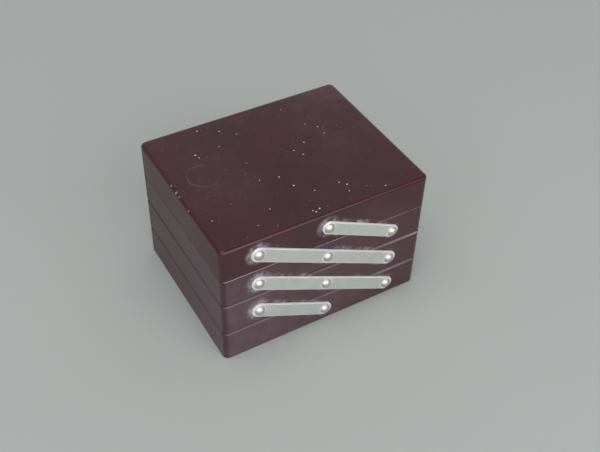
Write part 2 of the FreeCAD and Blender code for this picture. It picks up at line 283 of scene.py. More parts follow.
def pivot(tier, column, side="front"):
    """The x and z of a rivet's axis."""
    low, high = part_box(f"{side}_rivet_{tier}_{column}")
    return (low.x + high.x) / 2, (low.z + high.z) / 2


link_ends = {name: (pivot(*holes[0]), pivot(*holes[-1])) for name, holes in LINKS.items()}
(first_x, first_z), (last_x, last_z) = link_ends["lower_long_link"]
link_slope = math.atan2(first_z - last_z, last_x - first_x)


def link_half_width(name):
    """Half a link's width, from what its box reaches beyond its first pivot."""
    return link_ends[name][0][0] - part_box(f"front_{name}")[0].x


print("links slope down by", round(math.degrees(link_slope), 2), "degrees")

# %% [markdown]
# The mouldings are a thermoset resin, pressed in a polished tool: nearly black red-brown and glossy. Age and
# use have marked it, and some of the colour below also paints in light and shade. Each mark is a mask from 0
# to 1 that changes the colour or dulls the gloss. Marks could be painted on a picture, but masks worked out
# from a point's place and the way it faces need none and hold on every side. Dust comes first: specks in some
# cells of a pattern seen from above.

# %% Dust
# A cell's size, the share of the cells that hold a speck, and the largest speck's radius in cells
COARSE_DUST = (8.0 * MM, 0.06, 0.05)
FINE_DUST = (1.7 * MM, 0.08, 0.12)
FINE_DUST_STRENGTH = 0.30
SPECK_EDGE = 0.02
SHAKE = 0.6 * MM
SHAKE_SCALE = 900.0
UP_FACING = (0.75, 0.97)


def specks(tree, where, cell, share, radius):
    """Round specks of uneven size, in some of the cells of a pattern seen from above."""
    cells = add(tree, "TexVoronoi", {"voronoi_dimensions": "2D"}, Vector=where, Scale=1 / cell)
    chance = add(tree, "SeparateColor", Color=cells.outputs["Color"]).outputs["Red"]
    size = stretch(tree, chance, 1 - share, 1.0, 0.0, radius)
    inside = sums(tree, "SUBTRACT", size, cells.outputs["Distance"])
    return stretch(tree, inside, 0.0, SPECK_EDGE)


def dust(tree, where, facing):
    """Coarse and fine specks, shaken a little out of round, on what faces up."""
    shaken = add(tree, "TexNoise", Vector=where, Scale=SHAKE_SCALE).outputs["Color"]
    where = vectors(tree, "ADD", where, vectors(tree, "MULTIPLY", shaken, (SHAKE, SHAKE, 0.0)))
    fine = sums(tree, "MULTIPLY", specks(tree, where, *FINE_DUST), FINE_DUST_STRENGTH)
    both = sums(tree, "MAXIMUM", specks(tree, where, *COARSE_DUST), fine)
    return sums(tree, "MULTIPLY", both, stretch(tree, part_of(tree, facing, "Z"), *UP_FACING))


print("dust in cells of", [round(dirt_and_shade[0] / MM, 1) for dirt_and_shade in (COARSE_DUST, FINE_DUST)], "mm")

# %% [markdown]
# Dried polish stays on the wall round each link, where wiping can't reach, most of all at the link's upper
# end. The film could be a pattern all over the wall, but it has to follow the links. A link is a bar with
# round ends, so a point lies outside it by its distance from the bar's middle line, less half the width.

# %% Polish round the links
POLISH_REACH = 2.2 * MM
END_POLISH_REACH = 3.2 * MM
UNDER_LINK = 1.1 * MM
# Deeper than the case, so that only a point's place on the wall counts
ANY_DEPTH = 1.0
WALL_MARGIN = 0.6 * MM
OUTER_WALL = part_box("lid")[1].y - WALL_MARGIN
FILM_PATCHES = (95.0, 3.0, 0.50, 0.66)
FILM_BREAKS = (420.0, 3.0, 0.30, 0.60)


def along_links(tree, where):
    """A point's place in coordinates that are turned to the links' slope."""
    return add(tree, "Mapping", Vector=where, Rotation=(0, -link_slope, 0)).outputs["Vector"]


def off_link(tree, along, name):
    """How far a point of the wall lies outside a link's outline, in metres."""
    turn = Matrix.Rotation(link_slope, 3, "Y").transposed()
    first, last = (turn @ Vector((x, 0, z)) for x, z in link_ends[name])
    middle = (first + last) / 2
    reach = abs(last.x - first.x) / 2
    beyond = vectors(tree, "ABSOLUTE", vectors(tree, "SUBTRACT", along, (middle.x, 0, middle.z)))
    beyond = vectors(tree, "MAXIMUM", vectors(tree, "SUBTRACT", beyond, (reach, ANY_DEPTH, 0)))
    return sums(tree, "SUBTRACT", apart(tree, beyond), link_half_width(name))


def off_links(tree, where):
    """How far a point of the wall lies outside the nearest link's outline."""
    along = along_links(tree, where)
    return sums(tree, "MINIMUM", *[off_link(tree, along, name) for name in LINKS])


def off_pivot(tree, where, centre):
    """How far a point lies from a pivot's line, in metres."""
    flat = vectors(tree, "MULTIPLY", where, (1, 0, 1))
    return apart(tree, flat, (centre[0], 0, centre[1]))


def on_long_walls(tree, where, mask):
    """Keeps a mask to the two outer long walls."""
    depth = sums(tree, "ABSOLUTE", part_of(tree, where, "Y"))
    return sums(tree, "MULTIPLY", mask, sums(tree, "GREATER_THAN", depth, OUTER_WALL))


def polish_traces(tree, where):
    """A broken pale film on the outer long walls, round the links and their upper ends but not under them."""
    nearest = off_links(tree, where)
    beside = stretch(tree, nearest, -UNDER_LINK, 0.0)
    film = stretch(tree, nearest, 0.0, POLISH_REACH, 1.0, 0.0)
    film = sums(tree, "MULTIPLY", film, beside, patches(tree, where, FILM_PATCHES))
    for name, ends in link_ends.items():
        around = sums(tree, "SUBTRACT", off_pivot(tree, where, ends[0]), link_half_width(name))
        smear = sums(tree, "MULTIPLY", beside, stretch(tree, around, 0.0, END_POLISH_REACH, 1.0, 0.0))
        film = sums(tree, "MAXIMUM", film, smear)
    film = sums(tree, "MULTIPLY", film, patches(tree, where, FILM_BREAKS))
    return on_long_walls(tree, where, film)


print("polish on the walls beyond", round(OUTER_WALL / MM, 2), "mm from the middle")

# %% [markdown]
# The seams between the tiers get a pale line and a dark one. The pale line lies along the trays' rims: under
# the lid it is dried polish and a painted highlight in one, and on the round rims below it is a painted
# highlight.
# The dark line is painted shade in the gaps, fainter to the right, where the gaps close. Both could be thin
# strips laid into the seams, but they have no thickness to speak of, so they are bands of colour, and a
# point's height tells whether it lies in one. A strength below 0 leaves that end of a seam bare.

# %% Polish, painted highlight and painted shade in the seams
SEAM_PATCHES = (60.0, 3.0, 0.30, 0.60)
THINNEST_POLISH_AND_HIGHLIGHT = 0.45
SHADE_REACH = 1.05 * MM
SHADE_SPAN = (0.1, 0.7)
SHADE_FADES_AT = 0.6 * cad_high.x
FADED_SHADE = 0.25
# The pale line of polish and painted highlight: how far below the rim's top it lies, its reach,
# and its strength at the left and at the right
SEAM_POLISH_AND_HIGHLIGHT = {
    "base": (1.2 * MM, 0.7 * MM, -0.35, 0.5),
    "lower": (1.2 * MM, 0.7 * MM, -0.35, 0.6),
    "upper": (0.0, 0.4 * MM, 1.1, 0.4),
}


def near_level(tree, where, level, reach):
    """How close a point lies to one height, from 1 at that height to 0."""
    off = sums(tree, "ABSOLUTE", sums(tree, "SUBTRACT", part_of(tree, where, "Z"), level))
    return stretch(tree, off, 0.0, reach, 1.0, 0.0)


def seam_polish_and_highlight(tree, where, rim, drop, reach, left, right):
    """Dried polish and a painted highlight along a seam, of one strength at the left and another at the
    right.
    """
    near = near_level(tree, where, rim - drop, reach)
    uneven = patches(tree, where, SEAM_PATCHES, THINNEST_POLISH_AND_HIGHLIGHT, 1.0)
    strength = stretch(tree, part_of(tree, where, "X"), cad_low.x, cad_high.x, left, right)
    return on_long_walls(tree, where, sums(tree, "MULTIPLY", near, uneven, strength))


def painted_seam_shade(tree, where, levels):
    """Painted shade in the seams' gaps at some heights, fainter to the right, where the gaps close."""
    dirt_and_shade = sums(tree, "MAXIMUM", *[near_level(tree, where, level, SHADE_REACH) for level in levels])
    fainter = stretch(tree, part_of(tree, where, "X"), 0.0, SHADE_FADES_AT, 1.0, FADED_SHADE)
    return sums(tree, "MULTIPLY", stretch(tree, dirt_and_shade, *SHADE_SPAN), fainter)


print("polish in the seams of", list(SEAM_POLISH_AND_HIGHLIGHT))

# %% [markdown]
# The grey is kept off the trays' upright corners, and the lid's top edge is a deeper red. A bevel node could
# find such edges, but it is slow to render. On a plain box only a rounded edge faces between two sides, so
# the way a point faces is enough.

# %% Upright corners and the lid's edge
CORNER_TURN = 0.6
CORNER_SHARE = 0.75
EDGE_STARTS = (0.05, 0.25)
EDGE_ENDS = (0.90, 0.99)


def on_upright_corner(tree, facing):
    """How far a wall has turned from one side of the box towards the next."""
    sides = vectors(tree, "ABSOLUTE", facing)
    between = sums(tree, "MINIMUM", part_of(tree, sides, "X"), part_of(tree, sides, "Y"))
    return stretch(tree, between, 0.0, CORNER_TURN, 0.0, CORNER_SHARE)


def on_top_edge(tree, facing):
    """A mask of the rounded edge between the lid's top and its walls."""
    height = part_of(tree, facing, "Z")
    return sums(tree, "SUBTRACT", stretch(tree, height, *EDGE_STARTS), stretch(tree, height, *EDGE_ENDS))


print("bloom rubbed off the corners by up to", CORNER_SHARE)

# %% [markdown]
# The lid has marks of its own: crumbs, chips in the edge of its left end, a faint ring where something stood
# and a corner that hands have kept clean. A pattern would strew such marks anywhere. These are few and lie
# in certain places, so each is given by its place and its size.

# %% Marks on the lid
# The places of the chips and the crumbs, and last their radii, in millimetres
LID_TOP = cad_high.z / MM
CHIPS = (
    (-54.3, 7.4, 70.7, 0.6), (-54.3, 1.8, 70.7, 0.8), (-54.2, -1.6, 70.8, 0.6), (-54.4, -12.0, 70.6, 0.6),
)
CRUMBS = (
    (-35.2, 22.0, 0.55), (-34.5, 19.5, 0.4), (-26.2, 38.8, 0.5), (-16.8, 33.5, 0.4), (-10.2, 27.5, 0.35),
    (-22.2, 22.5, 0.3), (28.2, 13.8, 0.35), (28.5, 7.8, 0.35), (19.0, 35.2, 0.3), (10.8, -2.0, 0.45),
    (8.2, 2.8, 0.35), (-7.8, -11.2, 0.4), (-17.0, -9.0, 0.35), (-4.8, -19.8, 0.5), (2.0, -27.5, 0.4),
    (17.5, -30.8, 0.5), (15.0, -27.8, 0.4), (16.0, -35.2, 0.35), (-4.8, -40.3, 0.5), (-5.8, -39.0, 0.4),
    (-2.4, -39.2, 0.5), (32.8, -40.2, 0.35), (-22.2, -28.8, 0.3), (-31.8, -35.8, 0.3),
)
SPOT_OUTLINE = (1500.0, 2.0, 0.25, 0.75)
SPOT_UNEVENNESS = (0.55, 1.45)
SPOT_CORE = 0.5
RING_CENTRE = Vector((-38.3, 6.4, 0)) * MM
RING_RADIUS = 7.9 * MM
RING_WIDTH = 0.7 * MM
RING_STRENGTH = 0.10
RING_OPENS_AT = 0.8 * RING_RADIUS
RING_BREAKS = (240.0, 2.0, 0.35, 0.60)
FAINTEST_RING = 0.3
HANDLED_SPOT = Vector((-50, -27, LID_TOP)) * MM
HANDLED_CORE = 4.2 * MM
HANDLED_REACH = 42 * MM
HANDLED_SHARE = 0.7


def spots(tree, where, places):
    """Small uneven spots at places given as (x, y, z, radius) in millimetres."""
    uneven = patches(tree, where, SPOT_OUTLINE, *SPOT_UNEVENNESS)
    marks = 0.0
    for x, y, z, radius in places:
        off = sums(tree, "MULTIPLY", apart(tree, where, Vector((x, y, z)) * MM), uneven)
        mark = stretch(tree, off, SPOT_CORE * radius * MM, radius * MM, 1.0, 0.0)
        marks = sums(tree, "MAXIMUM", marks, mark)
    return marks


def worn_ring(tree, where):
    """A faint broken ring on the lid, open to the right."""
    flat = vectors(tree, "MULTIPLY", vectors(tree, "SUBTRACT", where, RING_CENTRE), (1, 1, 0))
    off = sums(tree, "ABSOLUTE", sums(tree, "SUBTRACT", apart(tree, flat), RING_RADIUS))
    line = stretch(tree, off, 0.0, RING_WIDTH, RING_STRENGTH, 0.0)
    opening = stretch(tree, part_of(tree, flat, "X"), 0.0, RING_OPENS_AT, 1.0, 0.0)
    return sums(tree, "MULTIPLY", line, opening, patches(tree, where, RING_BREAKS, FAINTEST_RING, 1.0))


def handled(tree, where):
    """The front left of the lid, where hands have rubbed the bloom away."""
    return stretch(tree, apart(tree, where, HANDLED_SPOT), HANDLED_CORE, HANDLED_REACH, HANDLED_SHARE, 0.0)


print("marks on the lid:", len(CRUMBS), "crumbs and", len(CHIPS), "chips")

# %% [markdown]
# Now the masks come together. Two browns lie in soft clouds, and a grey over them: bloom of age, with painted
# reflection of the floor and painted light in it, so most of it lies on the lower trays towards the front
# left.
# Wear and painted shade in the seams follow, then polish with the rims' painted highlight, and dust, in the
# order in which they lie on the case. One finish could serve all four mouldings, but the lid has marks that
# the trays lack, so each tier gets its own. Low waves bend the mirrored light, as on any pressed moulding.

# %% The resin itself
DEEP_RED = (0.056, 0.0096, 0.0155, 1)
PLUM_BROWN = (0.043, 0.0115, 0.0160, 1)
# Grey of the bloom, also used for the floor's reflection painted on the lower trays
GREY_BLOOM_AND_REFLECTION = (0.107, 0.064, 0.079, 1)
DEEP_EDGE_RED = (0.050, 0.0045, 0.0065, 1)
CHIPPED_EDGE = (0.40, 0.24, 0.25, 1)
PAINTED_SEAM_SHADE = (0.006, 0.004, 0.005, 1)
PALE_FILM_AND_HIGHLIGHT = (0.46, 0.42, 0.47, 1)
PALE_DUST = (0.62, 0.64, 0.66, 1)

BROWN_CLOUDS = (30.0, 3.0, 0.36, 0.64)
MOTTLE = (170.0, 4.0)
MOTTLE_SPAN = (0.30, 0.70)
GREY_CLOUDS = (21.0, 4.0, 0.38, 0.66)
GREY_MOTTLE = (0.75, 1.2)
# Towards the left and the front the grey paints in the mirrored floor and the light from the front left
GREY_LEFT_TO_RIGHT = (1.2, 0.2)
GREY_FRONT_TO_BACK = (1.1, 0.4)
# The least and the most that the grey covers: bloom, with painted reflection on the lower trays
BLOOM_AND_REFLECTION = {"base": (0.65, 0.95), "lower": (0.55, 0.85), "upper": (0.45, 0.75), "lid": (0.0, 0.30)}

POLISH_STRENGTH = 0.75
RESIN_ROUGHNESS = (0.10, 0.16)
POLISH_DULLS = 0.5
DUST_DULLS = 0.7
END_FACING = (0.90, 0.99)
END_WEAR = 0.28
RESIN_IOR = 1.52
WAVES = (55.0, 2.0)
WAVE_STRENGTH = 0.6
WAVE_DEPTH = 0.12 * MM
GRAIN_STRENGTH = 0.5
GRAIN_DEPTH = 0.012 * MM


def bloom_and_painted_reflection(tree, where, facing, mottle, tier):
    """How much grey shows: bloom, with painted reflection that thins out on the trays to the right, back and
    corners.
    """
    grey = patches(tree, where, GREY_CLOUDS, *BLOOM_AND_REFLECTION[tier])
    grey = sums(tree, "MULTIPLY", grey, stretch(tree, mottle, *MOTTLE_SPAN, *GREY_MOTTLE))
    if tier == "lid":
        return grey
    leftwards = stretch(tree, part_of(tree, where, "X"), cad_low.x, cad_high.x, *GREY_LEFT_TO_RIGHT)
    forwards = stretch(tree, part_of(tree, where, "Y"), cad_low.y, cad_high.y / 2, *GREY_FRONT_TO_BACK)
    off_corners = sums(tree, "SUBTRACT", 1.0, on_upright_corner(tree, facing))
    return sums(tree, "MULTIPLY", grey, leftwards, forwards, off_corners)


def resin_roughness(tree, facing, mottle, film, speck):
    """A mottled gloss, dulled by polish, by dust and by handling at the two ends."""
    gloss = stretch(tree, mottle, *MOTTLE_SPAN, *RESIN_ROUGHNESS)
    sideways = sums(tree, "ABSOLUTE", part_of(tree, facing, "X"))
    worn = stretch(tree, sideways, *END_FACING, 0.0, END_WEAR)
    filmed = sums(tree, "MULTIPLY", film, POLISH_DULLS)
    dusty = sums(tree, "MULTIPLY", speck, DUST_DULLS)
    return sums(tree, "ADD", gloss, sums(tree, "MAXIMUM", filmed, dusty, worn))


def resin(tier):
    """The aged resin of one moulding."""
    finish, tree, shader = new_finish(f"{NODE[tier]}_resin")
    point = add(tree, "TexCoord")
    where, facing = point.outputs["Object"], point.outputs["Normal"]
    mottle = noise(tree, where, *MOTTLE)
    colour = mixed(tree, patches(tree, where, BROWN_CLOUDS), DEEP_RED, PLUM_BROWN)
    # Grey bloom, with painted reflection of the floor
    colour = mixed(tree, bloom_and_painted_reflection(tree, where, facing, mottle, tier), colour, GREY_BLOOM_AND_REFLECTION)
    film = sums(tree, "MULTIPLY", polish_traces(tree, where), POLISH_STRENGTH)
    speck = dust(tree, where, facing)
    if tier == "lid":
        colour = mixed(tree, handled(tree, where), colour, DEEP_RED)
        # A deeper red on the lid's top edge
        colour = mixed(tree, on_top_edge(tree, facing), colour, DEEP_EDGE_RED)
        colour = mixed(tree, spots(tree, where, CHIPS), colour, CHIPPED_EDGE)
        film = sums(tree, "MAXIMUM", film, worn_ring(tree, where))
        crumbs = spots(tree, where, [(x, y, LID_TOP, radius) for x, y, radius in CRUMBS])
        speck = sums(tree, "MAXIMUM", speck, crumbs)
    else:
        low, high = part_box(NODE[tier])
        seams = {"base": (high.z,), "lower": (low.z, high.z), "upper": (low.z,)}[tier]
        # Painted shade in the gaps between the tiers
        colour = mixed(tree, painted_seam_shade(tree, where, seams), colour, PAINTED_SEAM_SHADE)
        # Dried polish, and the painted highlight of the rims, along the seams
        film = sums(tree, "MAXIMUM", film, seam_polish_and_highlight(tree, where, high.z, *SEAM_POLISH_AND_HIGHLIGHT[tier]))
    colour = mixed(tree, film, colour, PALE_FILM_AND_HIGHLIGHT)
    colour = mixed(tree, speck, colour, PALE_DUST)
    tree.links.new(colour, shader.inputs["Base Color"])
    tree.links.new(resin_roughness(tree, facing, mottle, film, speck), shader.inputs["Roughness"])
    shader.inputs["IOR"].default_value = RESIN_IOR
    waves = (noise(tree, where, *WAVES), WAVE_STRENGTH, WAVE_DEPTH)
    embossed(tree, shader, waves, (mottle, GRAIN_STRENGTH, GRAIN_DEPTH))
    return finish


moulding_finish = {tier: resin(tier) for tier in NODE}
print("finishes:", [finish.name for finish in moulding_finish.values()])

# %% [markdown]
# The links are drawn aluminium strip. The drawing leaves fine streaks along the bar. An anisotropic gloss
# could stand for them, but a noise stretched out along the bar shows them from close by as well. Dried
# polish has stayed along the sheared edges and in a ring round each rivet head, so these scatter light more
# than they mirror it. A pale border along each outline is dried polish and a painted highlight of the rounded
# edge in one.

# %% The links' metal
BAR_GREY = (0.89, 0.90, 0.88, 1)
BAR_BRIGHT = (0.95, 0.96, 0.94, 1)
BAR_STAIN = (0.76, 0.79, 0.75, 1)
BAR_POLISH_AND_HIGHLIGHT = (0.90, 0.91, 0.92, 1)
# How fine the streaks are along the bar, through it and across it
STREAKS = (45.0, 900.0, 2600.0)
STREAK_DETAIL = 3.0
STREAK_SPAN = (0.3, 0.7)
STREAK_ROUGHNESS = (0.30, 0.42)
STREAK_STRENGTH = 0.35
STREAK_DEPTH = 0.02 * MM
STAINS = (130.0, 3.0, 0.50, 0.72)
STAIN_SHARE = 0.6
EDGE_TO_FACE = (0.55, 0.90)
PALE_BORDER_AND_HIGHLIGHT = (-0.55 * MM, -0.20 * MM)
BORDER_SHARE = 0.8
BORDER_BREAKS = (260.0, 3.0, 0.35, 0.60)
THINNEST_BORDER = 0.35
PALE_RING = (2.95 * MM, 3.45 * MM)
PALE_RING_SHARE = 0.7
PALE_METALLIC = 0.15
PALE_ROUGHNESS = 0.65


def bar_polish_and_highlight(tree, where, facing):
    """Dried polish on a link: on its edges, along its border, where it also paints the rounded edge's
    highlight, and round each rivet.
    """
    outwards = sums(tree, "ABSOLUTE", part_of(tree, facing, "Y"))
    edges = stretch(tree, outwards, *EDGE_TO_FACE, 1.0, 0.0)
    # A pale border inside the outline: polish, and the painted highlight of the rounded edge
    border = stretch(tree, off_links(tree, where), *PALE_BORDER_AND_HIGHLIGHT, 0.0, BORDER_SHARE)
    border = sums(tree, "MULTIPLY", border, patches(tree, where, BORDER_BREAKS, THINNEST_BORDER, 1.0))
    centres = [pivot(tier, column) for tier, columns in RIVETS.items() for column in columns]
    nearest = sums(tree, "MINIMUM", *[off_pivot(tree, where, centre) for centre in centres])
    rings = stretch(tree, nearest, *PALE_RING, PALE_RING_SHARE, 0.0)
    return sums(tree, "MAXIMUM", edges, border, rings)


def drawn_strip(name):
    """Strip metal with streaks along the bar, some stains, and pale dried polish with a painted highlight at
    the border.
    """
    finish, tree, shader = new_finish(name)
    point = add(tree, "TexCoord")
    where, facing = point.outputs["Object"], point.outputs["Normal"]
    streak = noise(tree, vectors(tree, "MULTIPLY", along_links(tree, where), STREAKS), 1.0, STREAK_DETAIL)
    pale = bar_polish_and_highlight(tree, where, facing)
    colour = mixed(tree, stretch(tree, streak, *STREAK_SPAN), BAR_GREY, BAR_BRIGHT)
    colour = mixed(tree, patches(tree, where, STAINS, 0.0, STAIN_SHARE), colour, BAR_STAIN)
    colour = mixed(tree, pale, colour, BAR_POLISH_AND_HIGHLIGHT)
    tree.links.new(colour, shader.inputs["Base Color"])
    tree.links.new(stretch(tree, pale, 0.0, 1.0, 1.0, PALE_METALLIC), shader.inputs["Metallic"])
    gloss = stretch(tree, streak, *STREAK_SPAN, *STREAK_ROUGHNESS)
    gloss = sums(tree, "MAXIMUM", gloss, sums(tree, "MULTIPLY", pale, PALE_ROUGHNESS))
    tree.links.new(gloss, shader.inputs["Roughness"])
    embossed(tree, shader, (streak, STREAK_STRENGTH, STREAK_DEPTH))
    return finish


link_finish = drawn_strip("drawn_aluminium")
print("finish:", link_finish.name)

# %% [markdown]
# The rivets are softer aluminium, a little warmer than the links, and the washers inside are plain steel.
# Both have uneven colour and small dents from being struck. The dents are too small to model, so bumps do.

# %% The rivets' and washers' metal
WARM_RIVET = (0.71, 0.64, 0.57, 1)
GREY_RIVET = (0.68, 0.65, 0.61, 1)
RIVET_ROUGHNESS = (0.34, 0.44)
DARK_STEEL = (0.50, 0.50, 0.51, 1)
LIGHT_STEEL = (0.60, 0.60, 0.61, 1)
STEEL_ROUGHNESS = (0.30, 0.42)
METAL_CLOUDS = (420.0, 3.0)
METAL_COLOUR_SPAN = (0.35, 0.65)
METAL_GLOSS_SPAN = (0.3, 0.7)
DENTS = (900.0, 1.0)
DENT_STRENGTH = 0.4
DENT_DEPTH = 0.04 * MM


def struck_metal(name, first, second, roughness):
    """Bright metal with uneven colour and small dents."""
    finish, tree, shader = new_finish(name)
    where = add(tree, "TexCoord").outputs["Object"]
    cloud = noise(tree, where, *METAL_CLOUDS)
    colour = mixed(tree, stretch(tree, cloud, *METAL_COLOUR_SPAN), first, second)
    tree.links.new(colour, shader.inputs["Base Color"])
    shader.inputs["Metallic"].default_value = 1.0
    tree.links.new(stretch(tree, cloud, *METAL_GLOSS_SPAN, *roughness), shader.inputs["Roughness"])
    embossed(tree, shader, (noise(tree, where, *DENTS), DENT_STRENGTH, DENT_DEPTH))
    return finish


rivet_finish = struck_metal("rivet_aluminium", WARM_RIVET, GREY_RIVET, RIVET_ROUGHNESS)
washer_finish = struck_metal("washer_steel", DARK_STEEL, LIGHT_STEEL, STEEL_ROUGHNESS)
print("finishes:", rivet_finish.name, washer_finish.name)

# %% [markdown]
# Each moulding is two boxes with rounded upright edges, one inside the other. Both lose the face at the
# open side, and the corners of the two loops, taken in the same order round the middle, are joined to make
# the rim. The bridge operator also joins two loops, but it can pair these corners askew. The edges are then
# broken by bevels, each with its own radius, which keeps the walls single faces. A boolean could hollow the
# box as well, but what it leaves at the rim is harder to bevel.

# %% Blocks, hollows and rounded edges
CORNER_RADIUS = 3.1 * MM
CAVITY_CORNER = 2.0 * MM
CORNER_STEPS = 10
NEAR = 1e-6
SHARP_ANGLE = math.radians(50)
FLAT_FACE_WEIGHT = 100


def rounded(bm, edges, radius, steps):
    return bmesh.ops.bevel(bm, geom=edges, offset=radius, offset_type="OFFSET", segments=steps, profile=0.5,
                           affect="EDGES", material=-1, clamp_overlap=False)


def block(bm, low, high, radius):
    """Adds a box with rounded upright edges; gives its top and bottom faces."""
    corners = bmesh.ops.create_cube(bm, size=1.0)["verts"]
    bmesh.ops.scale(bm, vec=high - low, verts=corners)
    bmesh.ops.translate(bm, vec=(low + high) / 2, verts=corners)
    edges = {edge for vert in corners for edge in vert.link_edges}
    upright = [edge for edge in edges if abs(edge.verts[0].co.z - edge.verts[1].co.z) > NEAR]
    made = rounded(bm, upright, radius, CORNER_STEPS)
    faces = {face for vert in made["verts"] for face in vert.link_faces}
    ends = []
    for level in (high.z, low.z):
        flat = [face for face in faces if all(abs(vert.co.z - level) < NEAR for vert in face.verts)]
        ends.append(flat[0])
    return ends


def turn_of(vert):
    """A corner's angle round the upright middle line."""
    return math.atan2(vert.co.y, vert.co.x)


def open_side(bm, outer, inner):
    """Opens two nested boxes at one side; gives the outer and the inner loop of the rim."""
    rim, mouth = list(outer.edges), list(inner.edges)
    rounds = [sorted(face.verts, key=turn_of) for face in (outer, inner)]
    bmesh.ops.delete(bm, geom=[outer, inner], context="FACES_ONLY")
    pairs = list(zip(*rounds))
    for (first, facing), (second, next_facing) in zip(pairs, pairs[1:] + pairs[:1]):
        bm.faces.new((first, second, next_facing, facing))
    bmesh.ops.recalc_face_normals(bm, faces=bm.faces)
    return rim, mouth


def finished(bm, name, finish):
    """A finished piece from a bmesh, with flat faces kept flat in the shading."""
    bmesh.ops.recalc_face_normals(bm, faces=bm.faces)
    mesh = bpy.data.meshes.new(name)
    bm.to_mesh(mesh)
    bm.free()
    mesh.shade_smooth()
    mesh.set_sharp_from_angle(angle=SHARP_ANGLE)
    mesh.materials.append(finish)
    piece = bpy.data.objects.new(name, mesh)
    scene.collection.objects.link(piece)
    even = piece.modifiers.new("even_shading", "WEIGHTED_NORMAL")
    even.weight = FLAT_FACE_WEIGHT
    even.keep_sharp = True
    return piece


def stands_for(piece, node, body):
    """Puts a finished piece in the place of a solid, on the body that moves it."""
    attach(piece, body)
    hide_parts(node)


print("corners of", round(CORNER_RADIUS / MM, 2), "mm outside and", round(CAVITY_CORNER / MM, 2), "mm inside")

# %% [markdown]
# The rivet holes go right through a wall. A wall's outer and inner faces are opened, a ring of edges
# is set into each, the faces are filled again round the rings, and the two rings are joined. Drilling with
# a boolean is shorter to write, but it can leave thin stray faces.

# %% Holes through a flat wall
HOLE_STEPS = 24
HOLE_RADIUS = 1.55 * MM


def ring(bm, centre):
    turn = Matrix.Translation(centre) @ Matrix.Rotation(math.pi / 2, 4, "X")
    made = bmesh.ops.create_circle(bm, cap_ends=False, segments=HOLE_STEPS, radius=HOLE_RADIUS, matrix=turn)
    return list({edge for vert in made["verts"] for edge in vert.link_edges})


def largest_face(bm, depth):
    """The largest face that lies all in the upright plane at one depth."""
    flat = [face for face in bm.faces if all(abs(vert.co.y - depth) < NEAR for vert in face.verts)]
    return max(flat, key=lambda face: face.calc_area())


def pierce(bm, depths, centres):
    """Rivet holes through a wall between two depths, at centres given as (x, z)."""
    rings = []
    for depth in depths:
        face = largest_face(bm, depth)
        border = list(face.edges)
        bmesh.ops.delete(bm, geom=[face], context="FACES_ONLY")
        holes = [ring(bm, (x, depth, z)) for x, z in centres]
        edges = border + [edge for hole in holes for edge in hole]
        bmesh.ops.triangle_fill(bm, edges=edges, use_beauty=True, normal=(0, 1, 0))
        rings.append(holes)
    for near, far in zip(*rings):
        bmesh.ops.bridge_loops(bm, edges=near + far)


print("rivet holes", round(2 * HOLE_RADIUS / MM, 2), "mm wide")

# %% [markdown]
# The four mouldings. The lid is the same shape turned over: its hollow opens downwards. The two lower
# trays have round rims, and the upper one has only its long rims broken, so the lid sits close on it.
# Turning one mesh over for the lid would do, but its edges have radii of their own.

# %% The lid and the trays
FLOOR_THICKNESS = 2.4 * MM
LID_THICKNESS = 3.0 * MM
# Each kind of edge, as a radius and the number of steps that round it
LID_EDGE = (1.8 * MM, 9)
RIM = (2.0 * MM, 8)
RIM_BREAK = (0.5 * MM, 4)
FOOT = (0.6 * MM, 4)
FLOOR_FILLET = (1.5 * MM, 5)
MOUTH_BREAK = (0.3 * MM, 2)
SKIRT_BREAK = (0.15 * MM, 2)

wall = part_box("front_washer_lid_left")[0].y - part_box("lid")[0].y
wall_inset = Vector((wall, wall, 0))


def tray_shape(low, high, rounded_rim):
    """A tray between two corners, open at the top."""
    bm = bmesh.new()
    top, bottom = block(bm, low, high, CORNER_RADIUS)
    foot = list(bottom.edges)
    floor_level = Vector((0, 0, FLOOR_THICKNESS))
    inner_top, inner_floor = block(bm, low + wall_inset + floor_level, high - wall_inset, CAVITY_CORNER)
    floor_edges = list(inner_floor.edges)
    rim, mouth = open_side(bm, top, inner_top)
    if rounded_rim:
        rounded(bm, rim, *RIM)
    else:
        rounded(bm, [edge for edge in rim if edge.calc_length() > case_length / 2], *RIM_BREAK)
    rounded(bm, mouth, *MOUTH_BREAK)
    rounded(bm, floor_edges, *FLOOR_FILLET)
    rounded(bm, foot, *FOOT)
    return bm


def lid_shape(low, high):
    """The lid between two corners, open underneath."""
    bm = bmesh.new()
    top, bottom = block(bm, low, high, CORNER_RADIUS)
    top_edge = list(top.edges)
    inner_high = high - wall_inset - Vector((0, 0, LID_THICKNESS))
    inner_ceiling, inner_bottom = block(bm, low + wall_inset, inner_high, CAVITY_CORNER)
    ceiling = list(inner_ceiling.edges)
    skirt, mouth = open_side(bm, bottom, inner_bottom)
    rounded(bm, top_edge, *LID_EDGE)
    rounded(bm, skirt, *SKIRT_BREAK)
    rounded(bm, mouth, *MOUTH_BREAK)
    rounded(bm, ceiling, *FLOOR_FILLET)
    return bm


for tier, columns in RIVETS.items():
    low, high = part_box(NODE[tier])
    bm = lid_shape(low, high) if tier == "lid" else tray_shape(low, high, tier != "upper")
    for side, outer, inward in (("front", low.y, 1), ("rear", high.y, -1)):
        centres = [pivot(tier, column, side) for column in columns]
        pierce(bm, (outer, outer + inward * wall), centres)
    piece = finished(bm, f"{NODE[tier]}_shell", moulding_finish[tier])
    stands_for(piece, NODE[tier], NODE[tier])
    print(piece.name, len(piece.data.polygons), "faces")

# %% [markdown]
# A link is a flat bar with round ends. A disc is pulled in two along the bar's length, given its
# thickness, rounded along its edges and pierced where the rivets go. A box with its ends bevelled round
# would look the same, but here both ends are true half circles from the start.

# %% The links
LINK_END_STEPS = 48
LINK_EDGE = (0.25 * MM, 3)


